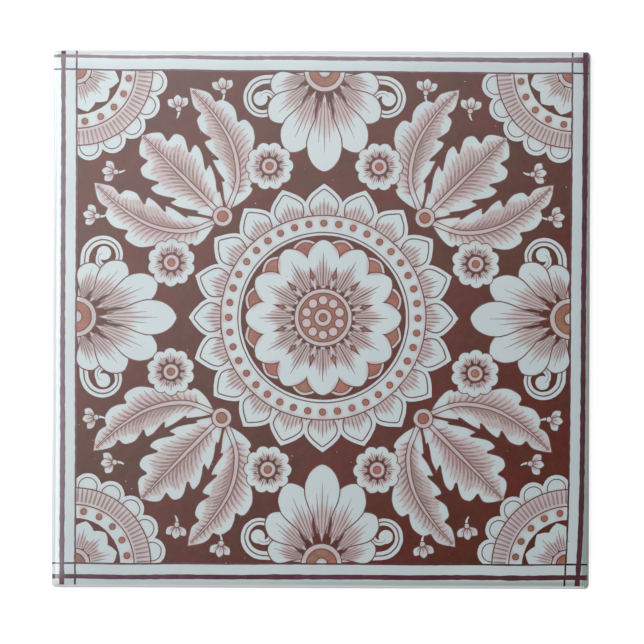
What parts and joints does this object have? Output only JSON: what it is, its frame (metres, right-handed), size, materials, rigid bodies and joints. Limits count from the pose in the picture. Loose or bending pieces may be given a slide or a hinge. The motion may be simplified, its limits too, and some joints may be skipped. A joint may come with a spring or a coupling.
{
  "type": "transferware tile",
  "caption": "Square glazed earthenware wall tile with a printed face and a back moulded with square wells that key it to its mortar bed.",
  "frame": {"origin": "centre of the back, on the crossing of the two middle ribs, in the plane that lies on the mortar bed", "axes": "+Z out of the glazed face; +X to the right and +Y to the top of the printed design as the picture shows it"},
  "size_m": [0.1524, 0.1524, 0.008],
  "materials": {
    "glazed_earthenware": "glossy bluish white glaze over cream earthenware, with a brown underglaze transfer print"
  },
  "bodies": {
    "root": {"tile": "glazed_earthenware"}
  },
  "joints": []
}
